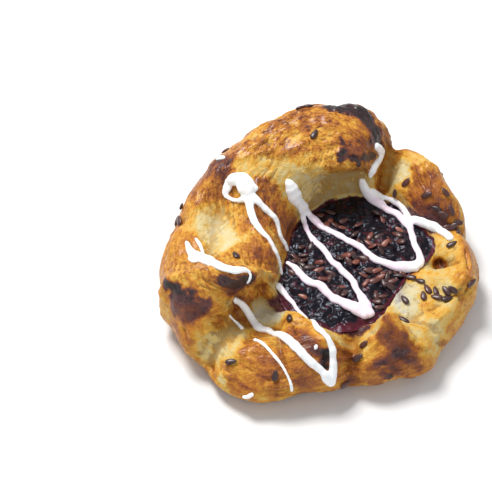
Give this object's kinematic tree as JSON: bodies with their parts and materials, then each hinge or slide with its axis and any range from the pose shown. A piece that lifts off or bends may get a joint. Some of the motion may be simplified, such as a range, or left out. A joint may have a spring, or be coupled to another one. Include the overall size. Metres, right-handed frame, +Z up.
{
  "type": "danish pastry",
  "caption": "Round flaky Danish pastry with a folded golden rim, higher at the back, around a pool of dark berry filling, topped with linseed and loose zigzags of white icing.",
  "frame": {"origin": "middle of the pastry's bounding box, on the plane it rests on", "axes": "+Z up; +X to the viewer's right and -Y towards the viewer in the picture, so the high back fold stands at +Y"},
  "size_m": [0.1186, 0.1207, 0.0468],
  "materials": {
    "crust": "baked flaky dough, golden to dark brown, pale in the valleys; linseed and white icing lie on it",
    "filling": "glossy dark berry filling with linseed and pale pink icing on it"
  },
  "bodies": {
    "root": {"pastry": "crust", "filling": "filling"}
  },
  "joints": []
}
